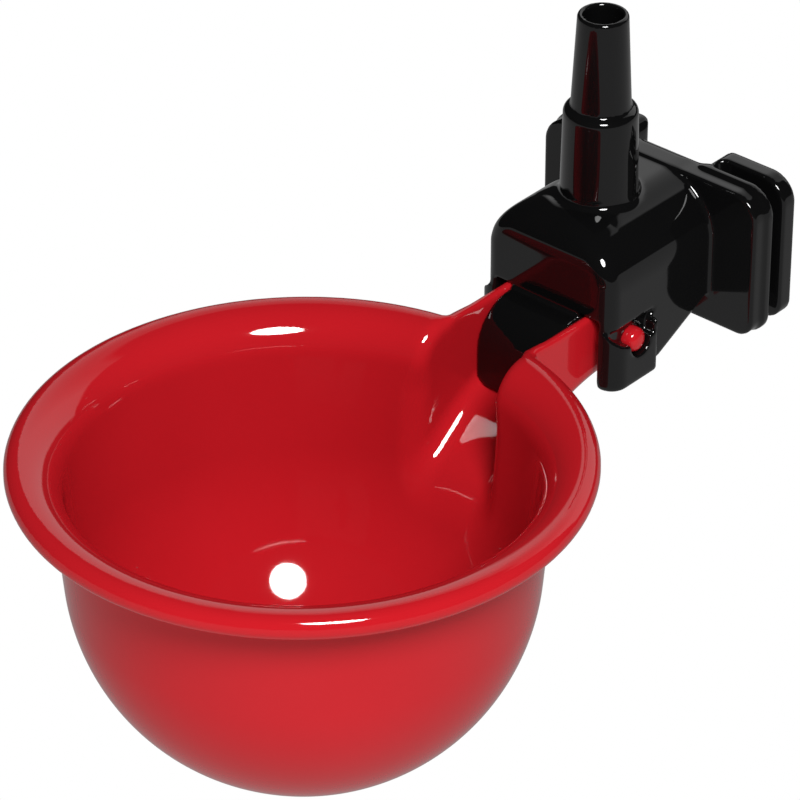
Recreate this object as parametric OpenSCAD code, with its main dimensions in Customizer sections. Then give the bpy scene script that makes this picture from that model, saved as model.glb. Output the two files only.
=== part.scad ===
// Poultry drinking cup that clips on cage wire and is fed by a hose.
// Seen from the bird's side: +X to the right, +Y towards the cage, +Z up.
// The origin is the middle of the flat back of the clip plate, where it lies against the wire.
// The red cup hangs on two pins between the cheeks of the black valve body. A spring lifts
// the empty cup, water sinks it, and its tail then presses the seal against the nozzle.

/* [Bowl] */
// Outside diameter over the rolled rim
rim_d = 90; // [80:0.5:110]
// Outside diameter of the round body
body_d = 73.6; // [66:0.2:76]
// Depth from the middle of the rim to the centre of the round bottom
body_drop = 17.4; // [14:0.2:24]
// Thickness of the moulded wall
wall = 1.9; // [1.4:0.1:2.4]
// Radius of the bead round the rim
lip_r = 2.05; // [1.6:0.05:2.4]
// Radius of the flare under the rim
flare_r = 6.8; // [5.5:0.1:8]

/* [Channel] */
// Half width of the water channel
chan_r = 7.2; // [6:0.1:8]
// Radius of the channel's rounded floor edges
chan_edge = 3.9; // [2:0.1:5]
// How much narrower the tail is on each side than the channel
tail_in = 0.2; // [0.1:0.05:0.5]
// Thickness of the channel walls
chan_wall = 1.5; // [1.2:0.1:1.8]
// Height of the channel walls above the middle of the rim
chan_top = 1.5; // [1:0.1:2]
// Depth of the level channel floor below the middle of the rim
chan_depth = 10.5; // [10:0.1:12]
// Slope of the channel floor down into the bowl, in degrees
chan_slope = 24; // [20:0.5:28]

/* [Pivot] */
// Radius of the two pivot pins
pin_r = 2.05; // [1.8:0.05:2.3]
// Running gap round each pin
pin_gap = 0.3; // [0.2:0.05:0.4]
// Distance of the pivot in front of the inlet
pivot_fore = 6.2; // [5:0.1:7]
// Depth of the pivot below the middle of the rim
pivot_drop = 3.5; // [3:0.1:4.5]

/* [Valve body] */
// Distance from the clip's back face to the middle of the bowl
reach = 87.1; // [85:0.1:100]
// Distance from the clip's back face to the middle of the inlet
inlet_back = 17; // [16:0.1:19]
// Height of the roof above the middle of the rim
roof_up = 16.4; // [14:0.1:18]
// Width of the body
body_w = 25.8; // [24:0.1:28]
// Distance from the clip's back face to the front of the body
body_len = 29.8; // [28.5:0.1:32]
// Radius of the crowned roof
crown_r = 14.2; // [13.5:0.1:18]
// Thickness of the body's walls
shell = 2.3; // [1.8:0.1:2.5]
// How far the cheeks stand proud of the body
cheek_step = 1.5; // [1:0.1:2]
// Depth of the cheeks below the middle of the rim
cheek_drop = 10.9; // [9:0.1:12]
// Length of the cheeks along the body
cheek_len = 10.9; // [10.5:0.1:12]
// Radius of the nose that closes the channel
nose_r = 7; // [5:0.1:8]
// How far the nose reaches out in front of the body
nose_len = 8.5; // [7:0.1:9.5]

/* [Inlet] */
// Outside radius of the collar at its foot
collar_r = 6.3; // [5.8:0.05:7]
// Height of the collar's shoulder above the middle of the rim
collar_top = 31.6; // [28:0.1:36]
// Outside radius of the hose spigot at its foot
spigot_foot_r = 4.84; // [4.5:0.02:5.2]
// Outside radius of the hose spigot at its tip
spigot_tip_r = 4.04; // [3.8:0.02:4.3]
// Height of the tip of the spigot above the middle of the rim
spigot_top = 47.7; // [42:0.1:54]
// Radius of the bore
bore_r = 3.15; // [2.6:0.05:3.3]
// Radius of the nozzle's outlet
outlet_r = 1.25; // [0.8:0.05:1.6]

/* [Clip] */
// Width of the clip plate
clip_w = 43.2; // [42:0.2:50]
// Height of the clip plate
clip_h = 25.5; // [24:0.1:30]
// Thickness of the clip plate
plate_t = 4.3; // [3.5:0.1:5]
// Width of the slots that take the cage wire
slot_w = 3.1; // [2.4:0.1:4]
// Thickness of the hooks' lips
lip_t = 3.05; // [2.4:0.05:3.6]
// Length of each slot, from its mouth to the middle of its round end
slot_len = 11.1; // [9:0.1:11.5]
// Width of the gap between the two hooks
hook_gap = 15; // [12:0.1:16]
// Corner radius at the top of the plate
corner_top_r = 4.5; // [3:0.1:6]
// Corner radius at the bottom of the plate
corner_low_r = 3; // [2:0.1:4]

/* [Seal and spring] */
// Radius of the rubber seal
seal_r = 3.4; // [3:0.1:3.8]
// Thickness of the rubber seal
seal_t = 2; // [1.5:0.1:2.5]
// Gap between seal and nozzle while the cup is up
seal_gap = 0.7; // [0.7:0.05:1]
// Wire diameter of the spring
wire_d = 0.8; // [0.6:0.05:1]
// Mean radius of the spring's coils
coil_r = 5.4; // [5.2:0.05:5.6]
// Turns of the spring
coil_turns = 6; // [4:1:8]

/* [Hidden] */
$fn = 96;
eps = 0.02;
far = 200;

// Heights and places that follow from the sizes above
rim_z = clip_h / 2 - roof_up - 0.1;
rim_r = rim_d / 2;
bowl_r = body_d / 2;
lip_mid = rim_r - lip_r;
flare_z = rim_z + lip_r - flare_r;
round_z = rim_z - body_drop;
bowl_y = -reach;
inlet_y = -inlet_back;
front_y = -body_len;
plate_y = -plate_t;
pivot_y = inlet_y - pivot_fore;
pivot_z = rim_z - pivot_drop;
roof_z = rim_z + roof_up;
half_w = body_w / 2;
cheek_x = half_w + cheek_step;
cheek_in = half_w - shell;
chan_out = chan_r + chan_wall;
floor_z = rim_z - chan_depth;
chan_z = rim_z + chan_top;
nose_y = front_y - nose_len;
bend_y = front_y - 2.7;
mouth_top = rim_z + 1.8;
ceiling_z = rim_z + 5;
tail_y = inlet_y + chan_out + 0.2;
coil_seat_h = 1.2;
seat_h = 2;
seal_z = floor_z + seat_h;
nozzle_z = seal_z + seal_t + seal_gap;
nozzle_r = coil_r - wire_d / 2 - 0.9;
nozzle_tip_r = 2.4;
pin_end_x = cheek_x - 0.6;
clip_y = slot_w + lip_t;

// Half plane to the right of the axis, for profiles that are turned
module right_of_axis() {
    translate([0, -far])
        square([far, 2 * far]);
}

// Section of the bowl: round bottom, drafted wall, flare and beaded rim.
// Grown by a distance, it is the outside, or with a negative one, the hollow.
module bowl_fill(inset) {
    r0 = bowl_r - inset;
    r1 = lip_mid - flare_r + wall - inset;
    intersection() {
        union() {
            translate([0, round_z])
                intersection() {
                    circle(r = r0);
                    translate([-far, -far])
                        square([2 * far, far]);
                }
            polygon([[0, round_z], [r0, round_z], [r1, flare_z], [0, flare_z]]);
            difference() {
                translate([0, flare_z - eps])
                    square([lip_mid, flare_r + eps]);
                translate([lip_mid, flare_z])
                    circle(r = flare_r - wall + inset);
            }
        }
        right_of_axis();
    }
}

module bowl_section() {
    difference() {
        union() {
            bowl_fill(0);
            translate([lip_mid, rim_z])
                circle(r = lip_r);
        }
        difference() {
            bowl_fill(wall);
            translate([lip_mid - eps, rim_z - far])
                square([far, 2 * far]);
        }
    }
}

module bowl() {
    translate([0, bowl_y, 0])
        rotate_extrude()
            bowl_section();
}

// The hollow of the bowl, with the open mouth above it
module bowl_hollow() {
    translate([0, bowl_y, 0])
        rotate_extrude()
            bowl_fill(wall);
}

// Section of the channel, floor at the origin: flat floor with rounded edges, upright sides
module chan_section(half, d) {
    edge = chan_edge + d;
    for (s = [-1, 1])
        translate([s * (half - chan_edge), edge])
            circle(r = edge);
    translate([-half + chan_edge, 0])
        square([2 * (half - chan_edge), edge]);
    translate([-half - d, edge])
        square([2 * (half + d), far / 4]);
}

// The channel from the bowl back to the tail: a sloping run, then a level one.
// d widens it all round.
module chan_run(d, back) {
    intersection() {
        union() {
            translate([0, bend_y, floor_z - d])
                rotate([90 + chan_slope, 0, 0])
                    translate([0, 0, -12])
                        linear_extrude(height = 50)
                            chan_section(chan_r, d);
            translate([0, back, floor_z - d])
                rotate([90, 0, 0])
                    linear_extrude(height = back - bend_y + 10)
                        chan_section(chan_r - tail_in, d);
        }
        translate([-far / 2, bowl_y + 28, -far / 2])
            cube([far, far, far]);
    }
}

module channel_shell() {
    intersection() {
        chan_run(chan_wall, tail_y);
        translate([-far / 2, -far, -far])
            cube([far, 2 * far, far + chan_z]);
    }
}

// One pivot pin with its domed end, pointing along +X
module pivot_pin() {
    dome = 0.7 * pin_r;
    body_end = pin_end_x - dome;
    translate([0, pivot_y, pivot_z])
        rotate([0, 90, 0]) {
            translate([0, 0, chan_out - chan_wall / 2])
                cylinder(r = pin_r, h = body_end - chan_out + chan_wall / 2);
            translate([0, 0, body_end])
                rotate_extrude()
                    intersection() {
                        scale_dome(dome);
                        right_of_axis();
                    }
        }
}

// Outline of the dome: a flat-topped button with a round edge
module scale_dome(h) {
    edge = h;
    translate([0, 0])
        square([pin_r - edge, h]);
    translate([pin_r - edge, 0])
        intersection() {
            circle(r = edge);
            square([edge, edge]);
        }
}

// Thicker hub on the channel wall round the root of a pin
module pivot_hub() {
    translate([0, pivot_y, pivot_z])
        rotate([0, 90, 0])
            translate([0, 0, chan_out - chan_wall / 2])
                cylinder(r = pin_r + 1.4, h = cheek_in - 0.4 - chan_out + chan_wall / 2);
}

// Round seats on the channel floor: a wide one under the spring, a high one for the seal
module seal_seat() {
    ring_h = seal_t * 0.4;
    translate([0, inlet_y, floor_z - chan_wall / 2]) {
        cylinder(r = coil_r + wire_d, h = coil_seat_h + chan_wall / 2);
        cylinder(r = seal_r + 0.8, h = seat_h + chan_wall / 2);
        translate([0, 0, seat_h + chan_wall / 2])
            difference() {
                cylinder(r = seal_r + 0.8, h = ring_h);
                translate([0, 0, -1])
                    cylinder(r = seal_r + 0.1, h = ring_h + 2);
            }
    }
}

module drinking_cup() {
    color("crimson") {
        difference() {
            union() {
                bowl();
                difference() {
                    channel_shell();
                    bowl_hollow();
                }
            }
            difference() {
                chan_run(0, tail_y - chan_wall);
                translate([0, bowl_y, 0])
                    cylinder(r = bowl_r - 6, h = far, center = true);
            }
        }
        seal_seat();
        for (side = [0, 1])
            mirror([side, 0, 0]) {
                pivot_pin();
                pivot_hub();
            }
    }
}

// Front outline of the body: upright sides under a crowned roof
module body_front(w, top, r, foot) {
    side_round = 2.5;
    intersection() {
        translate([0, top - r])
            circle(r = r);
        translate([-w / 2, foot])
            square([w, far]);
    }
    translate([-w / 2, foot])
        square([w, top - r + sqrt(r * r - w * w / 4) - foot]);
}

// Side outline of the upper body, with its large round brow and the raking underside
module body_side() {
    brow = 7.1;
    keel = rim_z - cheek_drop + 1.1;
    difference() {
        translate([front_y, keel])
            square([body_len - plate_t / 2, roof_z - keel]);
        difference() {
            translate([front_y - 1, roof_z - brow])
                square([brow + 1, brow + 1]);
            translate([front_y + brow, roof_z - brow])
                circle(r = brow);
        }
        polygon([[front_y + cheek_len + 1.8, keel - 1], [front_y + cheek_len + 1.8, keel],
                 [plate_y + 1, keel + 7.6], [0, keel - 1]]);
    }
}

// Plan of a block with its two front corners rounded
module plan_block(w, y0, y1, r) {
    translate([-w / 2, y0 + r])
        square([w, y1 - y0 - r]);
    translate([-w / 2 + r, y0])
        square([w - 2 * r, y1 - y0]);
    for (s = [-1, 1])
        translate([s * (w / 2 - r), y0 + r])
            circle(r = r);
}

module body_block() {
    intersection() {
        rotate([90, 0, 0])
            translate([0, 0, plate_t / 2])
                linear_extrude(height = body_len)
                    body_front(body_w, roof_z, crown_r, rim_z - 20);
        rotate([90, 0, 90])
            linear_extrude(height = 2 * body_w, center = true)
                body_side();
        translate([0, 0, rim_z - 30])
            linear_extrude(height = 60)
                plan_block(body_w, front_y, -plate_t / 2, 2.8);
    }
}

// The two proud cheeks, as one block across the body
module cheek_block() {
    translate([0, 0, rim_z - cheek_drop])
        linear_extrude(height = cheek_drop)
            plan_block(2 * cheek_x, front_y, front_y + cheek_len, 2.8);
}

// Hole for a pin, with a scoop in the proud part of the cheek that leads the pin in
module pin_window() {
    scoop_r = 6.4;
    back_sill = front_y + cheek_len - 0.2;
    sill = rim_z - 3.3;
    translate([cheek_in - 1, pivot_y, pivot_z])
        rotate([0, 90, 0])
            cylinder(r = pin_r + pin_gap, h = far);
    translate([half_w, 0, 0])
        rotate([90, 0, 90])
            linear_extrude(height = far)
                intersection() {
                    translate([front_y, sill])
                        square([back_sill - front_y, far]);
                    union() {
                        translate([pivot_y - 0.8, sill + scoop_r])
                            circle(r = scoop_r);
                        translate([pivot_y - 0.8, sill])
                            square([far, far]);
                    }
                }
}

// Hood between the channel walls that keeps the water under it
module nose(inset) {
    x = chan_r - 0.35 - inset;
    low = floor_z + 0.9 - (inset > 0 ? 5 : 0);
    translate([-x, 0, 0])
        rotate([90, 0, 90])
            linear_extrude(height = 2 * x)
                difference() {
                    union() {
                        translate([nose_y + inset, low])
                            square([nose_len + shell - inset + (inset > 0 ? shell : 0),
                                    rim_z + 1.3 - inset - low]);
                        if (inset == 0)
                            translate([front_y + 0.6, low])
                                square([shell - 0.6, mouth_top + 1 - low]);
                    }
                    difference() {
                        translate([nose_y - 1, rim_z + 1.3 - nose_r])
                            square([nose_r + 1, nose_r + 1]);
                        translate([nose_y + nose_r, rim_z + 1.3 - nose_r])
                            circle(r = nose_r - inset);
                    }
                }
}

// Keeps the nose clear of the channel's round floor
module nose_limit() {
    intersection() {
        translate([0, 0, 0.4])
            chan_run(-0.35, tail_y);
        translate([-far / 2, nose_y - 1, -far / 2])
            cube([far, nose_len + 10, far]);
    }
}

module body_hollow() {
    // the space for the tail of the cup
    translate([-cheek_in, front_y + shell, rim_z - 40])
        cube([2 * cheek_in, body_len - plate_t - shell - 0.4, ceiling_z - rim_z + 40]);
    // the open front under the mouth's edge
    translate([-cheek_in, front_y - 10, rim_z - 40])
        cube([2 * cheek_in, 10 + shell + eps, mouth_top - rim_z + 40]);
}

// Collar and hose spigot, turned about the inlet
module inlet_outside() {
    shoulder = 1.1;
    collar_low = roof_z - 6;
    translate([0, inlet_y, 0])
        rotate_extrude() {
            polygon([[0, collar_low], [collar_r, collar_low], [collar_r, roof_z],
                     [collar_r - 0.3, rim_z + collar_top - shoulder],
                     [0, rim_z + collar_top - shoulder]]);
            translate([0, rim_z + collar_top - shoulder])
                square([collar_r - 0.3 - shoulder, shoulder]);
            translate([collar_r - 0.3 - shoulder, rim_z + collar_top - shoulder])
                circle(r = shoulder);
            polygon([[0, rim_z + collar_top - 1], [spigot_foot_r, rim_z + collar_top - 1],
                     [spigot_tip_r, rim_z + spigot_top - 0.4], [spigot_tip_r - 0.3, rim_z + spigot_top],
                     [0, rim_z + spigot_top]]);
        }
}

// Nozzle that hangs from the ceiling down to the seal
module nozzle() {
    translate([0, inlet_y, 0])
        rotate_extrude()
            polygon([[0, ceiling_z + 3], [nozzle_r, ceiling_z + 3], [nozzle_r, nozzle_z + 2.4],
                     [nozzle_tip_r, nozzle_z + 0.6], [nozzle_tip_r, nozzle_z], [0, nozzle_z]]);
}

module water_way() {
    translate([0, inlet_y, nozzle_z + 2.4])
        cylinder(r = bore_r, h = far);
    translate([0, inlet_y, nozzle_z - 1])
        cylinder(r = outlet_r, h = 6);
}

// Plate outline with rounded corners
module clip_outline() {
    low = -clip_h / 2;
    top = clip_h / 2;
    x = clip_w / 2;
    translate([-x + corner_low_r, low])
        square([clip_w - 2 * corner_low_r, clip_h]);
    translate([-x, low + corner_low_r])
        square([clip_w, clip_h - corner_low_r - corner_top_r]);
    translate([-x + corner_top_r, low])
        square([clip_w - 2 * corner_top_r, clip_h]);
    for (s = [-1, 1]) {
        translate([s * (x - corner_low_r), low + corner_low_r])
            circle(r = corner_low_r);
        translate([s * (x - corner_top_r), top - corner_top_r])
            circle(r = corner_top_r);
    }
}

// Plan of the right-hand half of the clip: plate, web and hooked lip
module clip_plan() {
    bend_x = clip_w / 2 - slot_len;
    web_x = hook_gap / 2;
    web_edge = 2;
    foot_r = 1.4;
    translate([0, plate_y])
        square([clip_w / 2, plate_t]);
    difference() {
        union() {
            translate([web_x, -eps])
                square([clip_w / 2 - web_x, clip_y - web_edge + eps]);
            translate([web_x + web_edge, 0])
                square([clip_w / 2 - web_x - web_edge, clip_y]);
            translate([web_x + web_edge, clip_y - web_edge])
                circle(r = web_edge);
            difference() {
                translate([web_x - foot_r, -eps])
                    square([foot_r + eps, foot_r + eps]);
                translate([web_x - foot_r, foot_r])
                    circle(r = foot_r);
            }
        }
        translate([bend_x, slot_w / 2])
            circle(r = slot_w / 2);
        translate([bend_x, 0])
            square([slot_len + 1, slot_w]);
    }
}

module clip() {
    intersection() {
        translate([0, 0, -clip_h])
            linear_extrude(height = 2 * clip_h) {
                clip_plan();
                mirror([1, 0])
                    clip_plan();
            }
        rotate([90, 0, 0])
            linear_extrude(height = 2 * far, center = true)
                clip_outline();
    }
}

module valve_body() {
    color([0.08, 0.08, 0.09])
        difference() {
            union() {
                difference() {
                    union() {
                        body_block();
                        cheek_block();
                        inlet_outside();
                    }
                    body_hollow();
                    for (side = [0, 1])
                        mirror([side, 0, 0])
                            pin_window();
                }
                intersection() {
                    difference() {
                        nose(0);
                        nose(1.8);
                    }
                    nose_limit();
                }
                nozzle();
                clip();
            }
            water_way();
        }
}

module seal_pad() {
    color([0.2, 0.2, 0.2])
        translate([0, inlet_y, seal_z])
            cylinder(r = seal_r, h = seal_t);
}

// Coil spring round the nozzle, between the ceiling and the channel floor
module lift_spring() {
    steps = 20;
    sides = 8;
    low = floor_z + coil_seat_h + wire_d / 2 + 0.05;
    high = ceiling_z - wire_d / 2 - 0.05;
    rings = coil_turns * steps;
    ring_points = [for (i = [0 : rings])
        for (k = [0 : sides - 1])
            let (a = 360 * i / steps, b = 360 * k / sides,
                 r = coil_r + wire_d / 2 * cos(b))
                [r * cos(a), r * sin(a), low + (high - low) * i / rings + wire_d / 2 * sin(b)]];
    ring_faces = [for (i = [0 : rings - 1])
        for (k = [0 : sides - 1])
            let (k2 = (k + 1) % sides)
                [i * sides + k, i * sides + k2, (i + 1) * sides + k2, (i + 1) * sides + k]];
    start_face = [[for (k = [0 : sides - 1]) sides - 1 - k]];
    end_face = [[for (k = [0 : sides - 1]) rings * sides + k]];
    color("silver")
        translate([0, inlet_y, 0])
            polyhedron(points = ring_points, faces = concat(ring_faces, start_face, end_face));
}

drinking_cup();
valve_body();
seal_pad();
lift_spring();
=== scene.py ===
import bpy, math, time
import numpy as np
from mathutils import Vector, Matrix


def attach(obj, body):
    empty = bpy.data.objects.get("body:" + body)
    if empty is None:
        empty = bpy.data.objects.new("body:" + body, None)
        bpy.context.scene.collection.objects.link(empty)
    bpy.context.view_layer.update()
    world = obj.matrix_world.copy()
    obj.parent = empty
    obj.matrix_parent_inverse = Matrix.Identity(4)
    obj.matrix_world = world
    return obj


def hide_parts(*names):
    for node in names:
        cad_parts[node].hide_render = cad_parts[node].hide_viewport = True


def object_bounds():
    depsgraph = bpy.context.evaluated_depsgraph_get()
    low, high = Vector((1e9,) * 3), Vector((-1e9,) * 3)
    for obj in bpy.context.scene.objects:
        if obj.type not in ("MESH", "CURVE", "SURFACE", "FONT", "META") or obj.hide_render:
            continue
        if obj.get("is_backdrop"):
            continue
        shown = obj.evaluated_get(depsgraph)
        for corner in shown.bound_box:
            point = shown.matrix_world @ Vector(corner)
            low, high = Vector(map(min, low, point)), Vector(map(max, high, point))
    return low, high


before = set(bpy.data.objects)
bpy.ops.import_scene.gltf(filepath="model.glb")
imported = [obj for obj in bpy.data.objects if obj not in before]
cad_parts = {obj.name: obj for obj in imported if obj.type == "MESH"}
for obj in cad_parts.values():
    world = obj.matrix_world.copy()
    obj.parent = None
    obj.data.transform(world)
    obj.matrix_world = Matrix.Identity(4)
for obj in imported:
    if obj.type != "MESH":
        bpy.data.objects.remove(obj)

started = time.time()
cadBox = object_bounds()


def say(words):
    print("%5.1f s  %s" % (time.time() - started, words), flush=True)


# Lengths below are in millimetres, in the row frame. Objects are made in metres.
mm = 0.001
rimZ = -3.75

# Shape maths. A shape is a function of x, y, z that is negative inside and close to a distance.


def join(a, b, r=0.0):
    # union with a round fillet of radius r in the corner
    if np.ndim(r) == 0 and r <= 0:
        return np.minimum(a, b)
    u = np.maximum(r - a, 0)
    v = np.maximum(r - b, 0)
    return np.maximum(r, np.minimum(a, b)) - np.sqrt(u * u + v * v)


def both(a, b, r=0.0):
    # intersection with the edge rounded to radius r
    if np.ndim(r) == 0 and r <= 0:
        return np.maximum(a, b)
    u = np.maximum(r + a, 0)
    v = np.maximum(r + b, 0)
    return np.minimum(-r, np.maximum(a, b)) + np.sqrt(u * u + v * v)


def cut(a, b, r=0.0):
    return both(a, -b, r)


def ease(t, low, high):
    t = np.clip((t - low) / (high - low), 0, 1)
    return t * t * (3 - 2 * t)


def roundRect(x, z, halfX, halfZ, r):
    # outline of a rectangle; r may differ from point to point
    u = np.abs(x) - halfX + r
    v = np.abs(z) - halfZ + r
    return np.minimum(np.maximum(u, v), 0) + np.hypot(np.maximum(u, 0), np.maximum(v, 0)) - r


# cup: the red moulding, bowl, channel, pivot pins and tail in one
cup = {
    "bowlY": -87.1, "wall": 1.9, "ballR": 35.85, "ballZ": rimZ - 17.4,
    "lipR": 2.05, "lipMid": 42.95, "lipFillet": 0.9, "flareR": 5.85, "flareZ": rimZ - 4.75, "brimSlope": 0.8,
    "chanHalf": 7.2, "chanWall": 1.5, "chanEdge": 3.3, "chanTop": rimZ + 1.5, "chanRise": 0.35,
    "floorZ": rimZ - 10.5, "bendY": -35.8, "bendR": 5.5, "slope": 37.4, "tailY": -8.1, "tailEdge": 0.8,
    "mouthFlare": 2.0, "mouthFoot": 1.4, "rootFillet": 2.0, "rootEase": 1.5, "edge": 0.55, "cutEdge": 0.03,
    "pinY": -23.2, "pinZ": rimZ - 3.5, "pinR": 2.08, "pinEnd": 14.0, "pinRound": 1.3,
    "hubR": 3.45, "hubEnd": 10.2,
    "seatY": -17.0, "seatR": 6.2, "seatH": 1.05, "seatFall": 0.07, "postR": 4.0, "postH": 1.98,
    "low": (-46, -133, -59), "high": (46, -7, 0), "voxel": 0.70,
}


def bowlLine(rho, z):
    # signed distance from the middle of the bowl's wall, negative on the water's side
    c1 = (0.0, cup["ballZ"])
    c2 = (cup["lipMid"], cup["flareZ"])
    r1, r2 = cup["ballR"], cup["flareR"]
    span = math.hypot(c2[0] - c1[0], c2[1] - c1[1])
    angle = math.atan2(c2[1] - c1[1], c2[0]) - math.acos((r1 + r2) / span)
    n = (math.cos(angle), math.sin(angle))
    p1 = (c1[0] + r1 * n[0], c1[1] + r1 * n[1])
    p2 = (c2[0] - r2 * n[0], c2[1] - r2 * n[1])
    t = (-n[1], n[0])
    along = (rho - p1[0]) * t[0] + (z - p1[1]) * t[1]
    length = math.hypot(p2[0] - p1[0], p2[1] - p1[1])
    ball = np.hypot(rho, z - c1[1]) - r1
    side = (rho - p1[0]) * n[0] + (z - p1[1]) * n[1]
    flare = r2 - np.hypot(rho - c2[0], z - c2[1])
    brim = (c2[1] + r2) - z + cup["brimSlope"] * (rho - c2[0])
    outer = np.where(rho > c2[0], brim, flare)
    return np.where(along < 0, ball, np.where(along < length, side, outer))


def channelHollow(x, y, z, grow):
    a = math.radians(cup["slope"])
    level = cup["floorZ"] - grow - z
    ramp = (cup["floorZ"] - grow - z) * math.cos(a) + (y - cup["bendY"]) * math.sin(a)
    floor = join(level, ramp, cup["bendR"])
    return both(np.abs(x) - cup["chanHalf"] - grow, floor, cup["chanEdge"] + grow)


def cupShape(x, y, z):
    c = cup
    rho = np.hypot(x, y - c["bowlY"])
    line = bowlLine(rho, z)
    # bowl with its flared and rolled rim; the fillet behind the roll is on the underside only
    lip = np.hypot(rho - c["lipMid"], z - rimZ) - c["lipR"]
    under = c["lipFillet"] * (1 - ease(z, rimZ + 0.2, rimZ + 1.2)) + 0.001
    bowl = join(both(line - c["wall"] / 2, rho - c["lipMid"]), lip, under)
    # channel from inside the bowl back to the tail
    top = c["chanTop"] + c["chanRise"] * (1 - ease(y, -44, -37))
    outside = channelHollow(x, y, z, c["chanWall"])
    outside = both(outside, z - top, c["edge"])
    outside = both(outside, y - c["tailY"], c["tailEdge"])
    outside = both(outside, c["bowlY"] + 20 - y)
    inside = channelHollow(x, y, z, 0)
    inside = both(inside, y - (c["tailY"] - c["chanWall"]), 1.0)
    inside = both(inside, c["bowlY"] + 14 - y)
    # water space of bowl and channel in one, cut from both
    flare = c["mouthFlare"] + c["mouthFoot"] * (1 - ease(z, rimZ - 9, rimZ - 3))
    hollow = join(line + c["wall"] / 2, inside, flare)
    root = c["rootFillet"] - c["rootEase"] * ease(z, rimZ - 3.5, rimZ - 0.5)
    body = join(bowl, cut(outside, inside, c["edge"]), root)
    body = cut(body, hollow, c["cutEdge"])
    # hubs and pins on both sides
    ax = np.abs(x)
    rootX = c["chanHalf"] + 0.3 - ax
    r = np.hypot(y - c["pinY"], z - c["pinZ"])
    hub = both(both(r - c["hubR"], ax - c["hubEnd"], 0.4), rootX)
    pin = both(both(r - c["pinR"], ax - c["pinEnd"], c["pinRound"]), rootX)
    body = join(body, join(hub, pin, 0.3), 0.5)
    # seats for the spring and the seal; the spring's falls back so that a sunken cup stays clear of it
    rs = np.hypot(x, y - c["seatY"])
    seatTop = c["floorZ"] + c["seatH"] - c["seatFall"] * np.maximum(y - c["seatY"], 0)
    seat = both(rs - c["seatR"], z - seatTop, 0.3)
    post = both(rs - c["postR"], z - (c["floorZ"] + c["postH"]), 0.3)
    seat = both(join(seat, post, 0.3), c["floorZ"] - 0.7 - z)
    return join(body, seat, 0.3)


# body: the black moulding, valve housing, nose, cheeks, spigot and clip in one
valve = {
    "halfW": 12.9, "frontY": -29.8, "roofZ": rimZ + 16.4, "crownR": 10.0,
    "brow": 7.1, "browEdge": 2.6, "browLift": 0.5, "browSlope": 0.5, "cornerR": 2.8,
    "shell": 2.3, "ceilingZ": rimZ + 5.0, "mouthTop": rimZ + 1.75,
    "rakeRise": 6.2, "rakeRun": 12.7, "rakeZ": rimZ - 9.7,
    "cheekX": 14.3, "cheekIn": 10.6, "cheekLow": rimZ - 10.8, "cheekBack": -18.9, "cheekTop": rimZ,
    "pocketX": 12.1, "pocketEdge": 0.45, "scoopR": 6.4, "scoopY": -24.1, "scoopZ": rimZ - 3.3, "holeR": 2.35,
    "noseY": -38.4, "noseTop": rimZ + 1.3, "noseR": 7.5, "noseHalf": 6.85, "noseWall": 1.8,
    "noseFloat": 0.4, "noseGap": 0.35,
    "inletY": -17.0, "collarR": 6.25, "collarDraft": 0.02, "collarTop": rimZ + 31.6,
    "spigotFoot": 4.84, "spigotTip": 4.04, "spigotTop": rimZ + 47.7, "boreR": 3.15, "outletR": 1.25,
    "nozzleZ": -9.55, "nozzleR": 4.1, "tipR": 2.4,
    "clipW": 43.2, "clipH": 25.5, "clipTopR": 4.5, "clipLowR": 3.0, "plateT": 4.3, "slotW": 3.1, "lipT": 3.05,
    "slotX": 10.5, "webX": 7.5, "edge": 0.45,
    "low": (-22.5, -39.5, -17.5), "high": (22.5, 7.2, 45), "voxel": 0.39,
}


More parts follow.
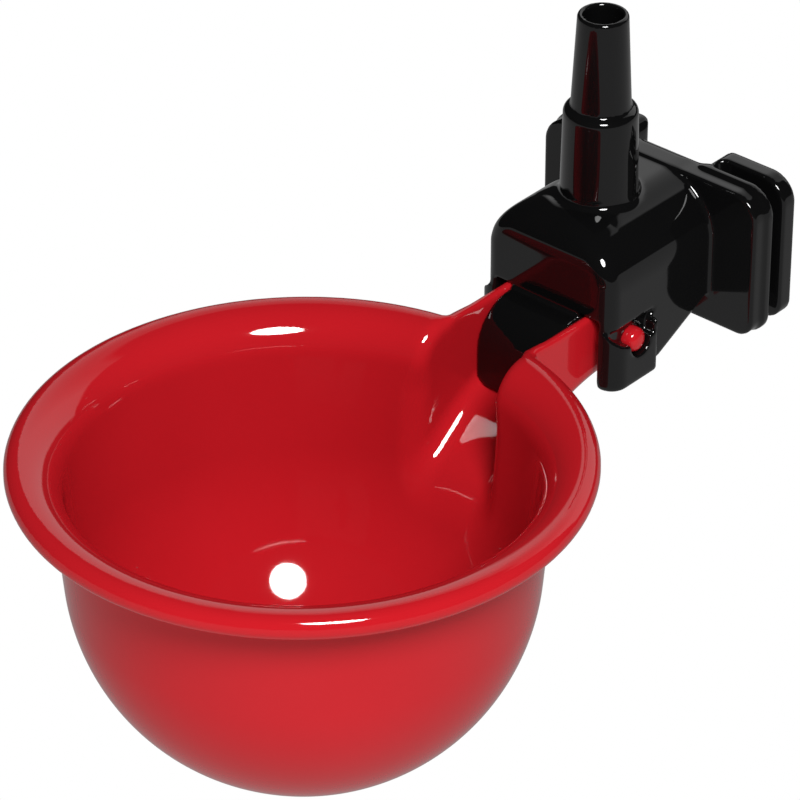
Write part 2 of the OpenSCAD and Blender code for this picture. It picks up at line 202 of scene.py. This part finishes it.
def valveShape(x, y, z):
    v = valve
    ax = np.abs(x)
    front = v["frontY"] - y
    # block with an arched roof and a rounded brow, its underside raked up behind the cheeks
    arch = both(ax - v["halfW"], z - v["roofZ"], v["crownR"])
    top = z - v["roofZ"] - v["browLift"] - v["browSlope"] * np.maximum(-front - v["brow"], 0)
    brow = both(front, top, v["brow"])
    corner = both(ax - v["halfW"], front, v["cornerR"])
    block = np.maximum(both(arch, brow, v["browEdge"]), corner)
    block = both(block, y + 1.0)
    keel = v["cheekLow"] + 1.0 - z
    rakeA = math.atan2(v["rakeRise"], v["rakeRun"])
    rake = (y - v["inletY"]) * math.sin(rakeA) - (z - v["rakeZ"]) * math.cos(rakeA)
    block = both(block, both(keel, rake, 0.5), 0.5)
    # proud cheeks, each with an open pocket round the pin
    cheek = both(ax - v["cheekX"], front, v["cornerR"] + 0.3)
    cheek = both(cheek, y - v["cheekBack"], 0.6)
    cheek = both(cheek, z - v["cheekTop"], 0.7)
    cheek = both(cheek, v["cheekLow"] - z, 1.0)
    scoop = np.hypot(y - v["scoopY"], z - v["scoopZ"] - v["scoopR"]) - v["scoopR"]
    notch = both(v["scoopY"] - y, y - (v["cheekBack"] - 0.8))
    notch = both(notch, v["scoopZ"] - z, 0.8)
    scoop = both(join(scoop, notch, 0.6), z - v["cheekTop"] - 0.05, 0.3)
    block = join(block, cheek, 0.35)
    block = cut(block, both(scoop, v["pocketX"] - ax, v["pocketEdge"]), v["pocketEdge"])
    # collar and spigot
    rs = np.hypot(x, y - v["inletY"])
    collar = rs - v["collarR"] - v["collarDraft"] * (v["roofZ"] - z)
    collar = both(collar, z - v["collarTop"], 1.2)
    collar = both(collar, v["ceilingZ"] - z)
    block = join(block, collar, 1.1)
    slope = (v["spigotFoot"] - v["spigotTip"]) / (v["spigotTop"] - v["collarTop"])
    spigot = rs - (v["spigotFoot"] - slope * (z - v["collarTop"]))
    spigot = both(spigot, z - v["spigotTop"], 0.45)
    spigot = both(spigot, v["ceilingZ"] - z)
    block = join(block, spigot, 0.15)
    # plate with hooked lips
    outline = roundRect(x, z, v["clipW"] / 2, v["clipH"] / 2, np.where(z > 0, v["clipTopR"], v["clipLowR"]))
    plate = both(both(outline, -v["plateT"] - y, v["edge"]), y, 0.4)
    hook = both(both(outline, y - v["slotW"] - v["lipT"], v["edge"]), -1.0 - y)
    hook = both(hook, v["webX"] - ax, 2.0)
    slotMid = v["slotW"] / 2
    slot = np.hypot(np.maximum(v["slotX"] - ax, 0), y - slotMid) - slotMid
    clip = cut(join(plate, hook, 1.4), slot, 0.45)
    block = join(block, clip, 0.7)
    # space for the cup's tail, open below and between the cheeks at the front
    room = both(ax - v["cheekIn"], z - v["ceilingZ"], 0.6)
    room = both(room, np.maximum(front + v["shell"], y + v["plateT"] + 0.4), 0.5)
    gate = both(both(ax - v["cheekIn"], z - v["mouthTop"], 0.6), -front - v["shell"] - 1.0)
    block = cut(block, join(room, gate), 0.45)
    # pin holes
    hole = both(np.hypot(y - cup["pinY"], z - cup["pinZ"]) - v["holeR"], 9.0 - ax)
    block = cut(block, hole, 0.25)
    # hooded nose in the channel, on a web that closes the front above it
    clear = channelHollow(x, y, z - v["noseFloat"], -v["noseGap"])
    hood = both(v["noseY"] - y, z - v["noseTop"], v["noseR"])
    hoodIn = both(v["noseY"] + v["noseWall"] - y, z - v["noseTop"] + v["noseWall"], v["noseR"] - v["noseWall"])
    nose = cut(both(hood, -front - v["shell"]), both(hoodIn, ax - v["noseHalf"] + v["noseWall"]))
    nose = both(both(nose, ax - v["noseHalf"], 0.35), clear)
    web = both(np.maximum(front, -front - v["shell"]), z - (v["mouthTop"] + 1.0))
    web = both(both(web, ax - v["noseHalf"]), clear)
    block = join(join(block, web), nose, 0.8)
    # nozzle
    nozzle = both(rs - v["nozzleR"], np.maximum(v["nozzleZ"] + 2.4 - z, z - v["ceilingZ"] - 2), 0.2)
    tip = rs - v["tipR"] - 0.9 * np.maximum(z - v["nozzleZ"] - 0.6, 0)
    tip = both(tip, np.maximum(v["nozzleZ"] - z, z - v["nozzleZ"] - 2.6))
    block = join(block, join(nozzle, tip), 0.4)
    bore = both(rs - v["boreR"], v["nozzleZ"] + 2.4 - z, 0.3)
    outlet = both(rs - v["outletR"], v["nozzleZ"] - 1 - z)
    return cut(block, join(bore, outlet), 0.3)


def skin(name, shape, settings):
    # closed quad mesh on the zero surface: one vertex in each crossed cell, then pulled onto the shape
    voxel, low = settings["voxel"], np.array(settings["low"], float)
    count = np.ceil((np.array(settings["high"], float) - low) / voxel).astype(int) + 1
    axes = [low[i] + voxel * np.arange(count[i]) for i in range(3)]
    field = np.empty(count, np.float32)
    for i in range(0, count[0], 24):
        gx, gy, gz = np.meshgrid(axes[0][i:i + 24], axes[1], axes[2], indexing="ij")
        field[i:i + 24] = shape(gx, gy, gz)
    inside = field < 0
    corners = [(i, j, k) for i in (0, 1) for j in (0, 1) for k in (0, 1)]

    def shifted(a, c):
        return a[c[0]:a.shape[0] - 1 + c[0], c[1]:a.shape[1] - 1 + c[1], c[2]:a.shape[2] - 1 + c[2]]

    total = sum(shifted(inside, c).astype(np.int8) for c in corners)
    crossed = (total > 0) & (total < 8)
    cells = np.argwhere(crossed)
    index = np.full(crossed.shape, -1, np.int64)
    index[crossed] = np.arange(len(cells))
    value = {c: shifted(field, c)[crossed].astype(float) for c in corners}
    place = np.zeros((len(cells), 3))
    hits = np.zeros(len(cells))
    for a in corners:
        for axis in range(3):
            if a[axis]:
                continue
            b = tuple(1 if i == axis else a[i] for i in range(3))
            fa, fb = value[a], value[b]
            mixed = (fa < 0) != (fb < 0)
            t = np.where(mixed, fa / np.where(mixed, fa - fb, 1), 0)
            p = np.tile(np.array(a, float), (len(cells), 1))
            p[:, axis] = t
            place += np.where(mixed[:, None], p, 0)
            hits += mixed
    place = low + (cells + place / hits[:, None]) * voxel
    home = low + (cells + 0.5) * voxel

    def slopeAt(p, h=0.04):
        g = np.empty_like(p)
        for axis in range(3):
            q = p.copy()
            q[:, axis] += h
            s = p.copy()
            s[:, axis] -= h
            g[:, axis] = (shape(*q.T) - shape(*s.T)) / (2 * h)
        return g

    for step in range(4):
        g = slopeAt(place)
        d = shape(*place.T)
        place -= g * (d / np.maximum((g * g).sum(1), 0.25))[:, None]
        place = np.clip(place, home - 0.62 * voxel, home + 0.62 * voxel)
    g = slopeAt(place, 0.08)
    normals = g / np.maximum(np.linalg.norm(g, axis=1), 1e-6)[:, None]
    faces = []
    for axis in range(3):
        o = [i for i in range(3) if i != axis]
        a = inside.take(range(inside.shape[axis] - 1), axis=axis)
        b = inside.take(range(1, inside.shape[axis]), axis=axis)
        edge = np.argwhere(a != b)
        edge = edge[(edge[:, o[0]] > 0) & (edge[:, o[1]] > 0)]
        edge = edge[(edge[:, o[0]] < inside.shape[o[0]] - 1) & (edge[:, o[1]] < inside.shape[o[1]] - 1)]
        ring = []
        for du, dv in ((-1, -1), (0, -1), (0, 0), (-1, 0)):
            c = edge.copy()
            c[:, o[0]] += du
            c[:, o[1]] += dv
            ring.append(index[c[:, 0], c[:, 1], c[:, 2]])
        quad = np.stack(ring, axis=1)
        goingOut = inside[edge[:, 0], edge[:, 1], edge[:, 2]]
        if axis == 1:
            goingOut = ~goingOut
        quad[~goingOut] = quad[~goingOut][:, ::-1]
        faces.append(quad)
    faces = np.concatenate(faces)
    # even out the normals where a round is smaller than the mesh
    near, far = faces.ravel(), np.roll(faces, -1, axis=1).ravel()
    ends, others = np.concatenate((near, far)), np.concatenate((far, near))
    for step in range(2):
        around = np.stack([np.bincount(ends, normals[others, i], len(place)) for i in range(3)], axis=1)
        normals = normals + around / np.maximum(np.linalg.norm(around, axis=1), 1e-6)[:, None]
        normals /= np.maximum(np.linalg.norm(normals, axis=1), 1e-6)[:, None]
    mesh = bpy.data.meshes.new(name)
    mesh.vertices.add(len(place))
    mesh.vertices.foreach_set("co", (place * mm).astype(np.float32).ravel())
    mesh.loops.add(len(faces) * 4)
    mesh.loops.foreach_set("vertex_index", faces.astype(np.int32).ravel())
    mesh.polygons.add(len(faces))
    mesh.polygons.foreach_set("loop_start", np.arange(0, len(faces) * 4, 4, dtype=np.int32))
    mesh.polygons.foreach_set("use_smooth", np.ones(len(faces), bool))
    mesh.update(calc_edges=True)
    mesh.validate()
    mesh.normals_split_custom_set_from_vertices(normals.tolist())
    obj = bpy.data.objects.new(name, mesh)
    bpy.context.scene.collection.objects.link(obj)
    say("%s: %d vertices, %d faces" % (name, len(place), len(faces)))
    return obj




class Wire:
    # a shader socket that takes part in Python sums
    def __init__(self, tree, socket):
        self.tree, self.socket = tree, socket

    def maths(self, operation, other, swap=False):
        pair = [self, other]
        if swap:
            pair.reverse()
        return node(self.tree, "ShaderNodeMath", {"operation": operation}, {0: pair[0], 1: pair[1]})

    def __add__(self, o): return self.maths("ADD", o)
    def __radd__(self, o): return self.maths("ADD", o, True)
    def __sub__(self, o): return self.maths("SUBTRACT", o)
    def __rsub__(self, o): return self.maths("SUBTRACT", o, True)
    def __mul__(self, o): return self.maths("MULTIPLY", o)
    def __rmul__(self, o): return self.maths("MULTIPLY", o, True)


def node(tree, kind, settings=None, inputs=None, out=0):
    n = tree.nodes.new(kind)
    for key, val in (settings or {}).items():
        setattr(n, key, val)
    for key, val in (inputs or {}).items():
        if isinstance(val, Wire):
            tree.links.new(val.socket, n.inputs[key])
        else:
            n.inputs[key].default_value = val
    return Wire(tree, n.outputs[out])


def newMaterial(name):
    m = bpy.data.materials.new(name)
    m.use_nodes = True
    tree = m.node_tree
    tree.nodes.clear()
    out = tree.nodes.new("ShaderNodeOutputMaterial")
    return m, tree, out


def mouldedPlastic(name, s):
    # gloss moulded plastic: faint mottling in colour, flow marks in the gloss, a hint of waviness
    m, tree, out = newMaterial(name)
    where = node(tree, "ShaderNodeTexCoord", out=3)
    cloud = node(tree, "ShaderNodeTexNoise", {}, {"Vector": where, "Scale": s["cloudScale"], "Detail": 3.0})
    grain = node(tree, "ShaderNodeTexNoise", {}, {"Vector": where, "Scale": s["grainScale"], "Detail": 4.0})
    wave = node(tree, "ShaderNodeTexNoise", {}, {"Vector": where, "Scale": s["waveScale"], "Detail": 1.0})
    tint = node(tree, "ShaderNodeMix", {"data_type": "RGBA"},
                {0: cloud, 6: (*s["dark"], 1), 7: (*s["light"], 1)}, out=2)
    rough = s["rough"] + (grain - 0.5) * s["roughSwing"]
    bump = node(tree, "ShaderNodeBump", {}, {"Strength": s["bump"], "Distance": 0.0002, "Height": wave})
    b = tree.nodes.new("ShaderNodeBsdfPrincipled")
    tree.links.new(tint.socket, b.inputs["Base Color"])
    tree.links.new(rough.socket, b.inputs["Roughness"])
    tree.links.new(bump.socket, b.inputs["Normal"])
    b.inputs["IOR"].default_value = s["ior"]
    tree.links.new(b.outputs[0], out.inputs[0])
    return m


redPlastic = {"dark": (0.37, 0.0065, 0.0105), "light": (0.42, 0.009, 0.0145), "rough": 0.05, "roughSwing": 0.03,
              "ior": 1.5, "bump": 0.05, "cloudScale": 30.0, "grainScale": 900.0, "waveScale": 160.0}
blackPlastic = {"dark": (0.0020, 0.0020, 0.0021), "light": (0.0032, 0.0032, 0.0033), "rough": 0.05,
                "roughSwing": 0.03, "ior": 1.5, "bump": 0.04, "cloudScale": 60.0, "grainScale": 1200.0,
                "waveScale": 260.0}
rubberSkin = {"dark": (0.020, 0.020, 0.021), "light": (0.035, 0.035, 0.036), "rough": 0.62, "roughSwing": 0.2,
              "ior": 1.45, "bump": 0.3, "cloudScale": 200.0, "grainScale": 2600.0, "waveScale": 1500.0}


def springSteel():
    m, tree, out = newMaterial("spring steel")
    where = node(tree, "ShaderNodeTexCoord", out=3)
    draw = node(tree, "ShaderNodeTexNoise", {}, {"Vector": where, "Scale": 2200.0, "Detail": 3.0})
    tint = node(tree, "ShaderNodeMix", {"data_type": "RGBA"},
                {0: draw, 6: (0.50, 0.50, 0.49, 1), 7: (0.66, 0.66, 0.65, 1)}, out=2)
    b = tree.nodes.new("ShaderNodeBsdfPrincipled")
    tree.links.new(tint.socket, b.inputs["Base Color"])
    rough = 0.22 + draw * 0.16
    tree.links.new(rough.socket, b.inputs["Roughness"])
    b.inputs["Metallic"].default_value = 1.0
    tree.links.new(b.outputs[0], out.inputs[0])
    return m


red = mouldedPlastic("red plastic", redPlastic)
black = mouldedPlastic("black plastic", blackPlastic)
rubber = mouldedPlastic("seal rubber", rubberSkin)
steel = springSteel()
say("materials")


view = {
    "place": (0.4126, -0.5369, 0.40175),
    "right": (0.7530, 0.6580, 0.0), "up": (-0.3574, 0.4090, 0.8396),
    "lens": 218.8, "sensor": 36.0,
}
cam = bpy.data.cameras.new("camera")
cam.lens, cam.sensor_width = view["lens"], view["sensor"]
cam.clip_start, cam.clip_end = 0.05, 20.0
camObj = bpy.data.objects.new("camera", cam)
bpy.context.scene.collection.objects.link(camObj)
right, up = Vector(view["right"]).normalized(), Vector(view["up"]).normalized()
back = right.cross(up).normalized()
turn = Matrix((right, up, back)).transposed().to_4x4()
camObj.matrix_world = Matrix.Translation(view["place"]) @ turn
bpy.context.scene.camera = camObj

light = {
    "skyLow": 0.44, "skyHigh": 0.15, "skyGloss": 0.022,
    "panelLow": 1.05, "panelHigh": 0.5, "panelLeft": 138.0, "panelRight": 69.0, "panelTop": 53.0,
    "panelFoot": 11.0,
    "keyWay": (0.540, -0.408, 0.714), "keyFar": 0.9, "keySize": 0.30, "keyPower": 11.0,
    "fillWay": (0.2, -0.55, -0.8), "fillFar": 0.6, "fillSize": 0.7, "fillPower": 2.8,
    "floorZ": -0.45, "floorHalf": 6.0, "floorPlain": 0.95, "floorGloss": 0.32,
}

world = bpy.data.worlds.new("studio")
bpy.context.scene.world = world
world.use_nodes = True
wt = world.node_tree
wt.nodes.clear()
worldOut = wt.nodes.new("ShaderNodeOutputWorld")
path = wt.nodes.new("ShaderNodeLightPath")
camera = Wire(wt, path.outputs["Is Camera Ray"])
gloss = Wire(wt, path.outputs["Is Glossy Ray"])
# a bright wall behind the part shows in its gloss, under a dark ceiling
where = node(wt, "ShaderNodeTexCoord")
split = wt.nodes.new("ShaderNodeSeparateXYZ")
wt.links.new(where.socket, split.inputs[0])
dx, dy, dz = (Wire(wt, split.outputs[i]) for i in range(3))


def edgeOf(value, sharp=25.0):
    # 0 below zero, 1 above, with a short ramp
    return node(wt, "ShaderNodeMath", {"operation": "ADD", "use_clamp": True}, {0: value * sharp, 1: 0.5})


leftA, rightA = math.radians(light["panelLeft"]), math.radians(light["panelRight"])
panel = edgeOf(dx * math.sin(leftA) - dy * math.cos(leftA))
panel = panel * edgeOf(dy * math.cos(rightA) - dx * math.sin(rightA))
panel = panel * edgeOf(math.sin(math.radians(light["panelTop"])) - dz)
panel = panel * edgeOf(dz - math.sin(math.radians(light["panelFoot"])))
lower = edgeOf(0.65 - dz, 5.4)
tone = light["panelHigh"] + lower * (light["panelLow"] - light["panelHigh"])
wall = light["skyGloss"] + panel * (tone - light["skyGloss"])
plain = light["skyHigh"] + edgeOf(0.475 - dz, 2.9) * (light["skyLow"] - light["skyHigh"])
strength = camera + gloss * wall + (1 - camera) * (1 - gloss) * plain
sky = wt.nodes.new("ShaderNodeBackground")
wt.links.new(strength.socket, sky.inputs["Strength"])
wt.links.new(sky.outputs[0], worldOut.inputs[0])

centre = Vector((0, -0.06, -0.01))


def roundLamp(name, way, far, size, power):
    lamp = bpy.data.lights.new(name, "AREA")
    lamp.shape, lamp.size, lamp.energy = "DISK", size, power
    obj = bpy.data.objects.new(name, lamp)
    bpy.context.scene.collection.objects.link(obj)
    way = Vector(way).normalized()
    obj.location = centre + way * far
    obj.rotation_euler = way.to_track_quat("Z", "Y").to_euler()
    return obj


roundLamp("key lamp", light["keyWay"], light["keyFar"], light["keySize"], light["keyPower"])
fill = roundLamp("fill lamp", light["fillWay"], light["fillFar"], light["fillSize"], light["fillPower"])
fill.visible_glossy = False
fill.visible_camera = False

# pale floor well below the part, white to the camera and softer in the gloss
floorMesh = bpy.data.meshes.new("floor")
h, fz = light["floorHalf"], light["floorZ"]
floorMesh.from_pydata([(-h, -h, fz), (h, -h, fz), (h, h, fz), (-h, h, fz)], [], [(0, 1, 2, 3)])
floor = bpy.data.objects.new("floor", floorMesh)
bpy.context.scene.collection.objects.link(floor)
paleFloor, ft, floorOut = newMaterial("pale floor")
plainGlow = node(ft, "ShaderNodeEmission", {}, {"Color": (1, 1, 1, 1), "Strength": light["floorPlain"]})
white = node(ft, "ShaderNodeEmission", {}, {"Color": (1, 1, 1, 1), "Strength": 1.0})
floorPath = ft.nodes.new("ShaderNodeLightPath")
soft = node(ft, "ShaderNodeEmission", {}, {"Color": (1, 1, 1, 1), "Strength": light["floorGloss"]})
inGloss = ft.nodes.new("ShaderNodeMixShader")
ft.links.new(floorPath.outputs["Is Glossy Ray"], inGloss.inputs[0])
ft.links.new(plainGlow.socket, inGloss.inputs[1])
ft.links.new(soft.socket, inGloss.inputs[2])
mixed = ft.nodes.new("ShaderNodeMixShader")
ft.links.new(floorPath.outputs["Is Camera Ray"], mixed.inputs[0])
ft.links.new(inGloss.outputs[0], mixed.inputs[1])
ft.links.new(white.socket, mixed.inputs[2])
ft.links.new(mixed.outputs[0], floorOut.inputs[0])
floorMesh.materials.append(paleFloor)
floor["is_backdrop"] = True
bpy.context.scene.view_settings.view_transform = "Standard"
say("camera, lamp and floor")


cupSkin = skin("cup_moulding", cupShape, cup)
cupSkin.data.materials.append(red)
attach(cupSkin, "cup")
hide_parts("drinking_cup")

valveSkin = skin("valve_moulding", valveShape, valve)
valveSkin.data.materials.append(black)
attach(valveSkin, "body")
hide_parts("valve_body")

for name, mat in (("seal_pad", rubber), ("lift_spring", steel)):
    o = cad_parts[name]
    for i in range(len(o.material_slots)):
        o.material_slots[i].material = mat
say("pieces")


def plain(box):
    return [[float(c) for c in corner] for corner in box]


{"cad": plain(cadBox), "shown": plain(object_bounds())}
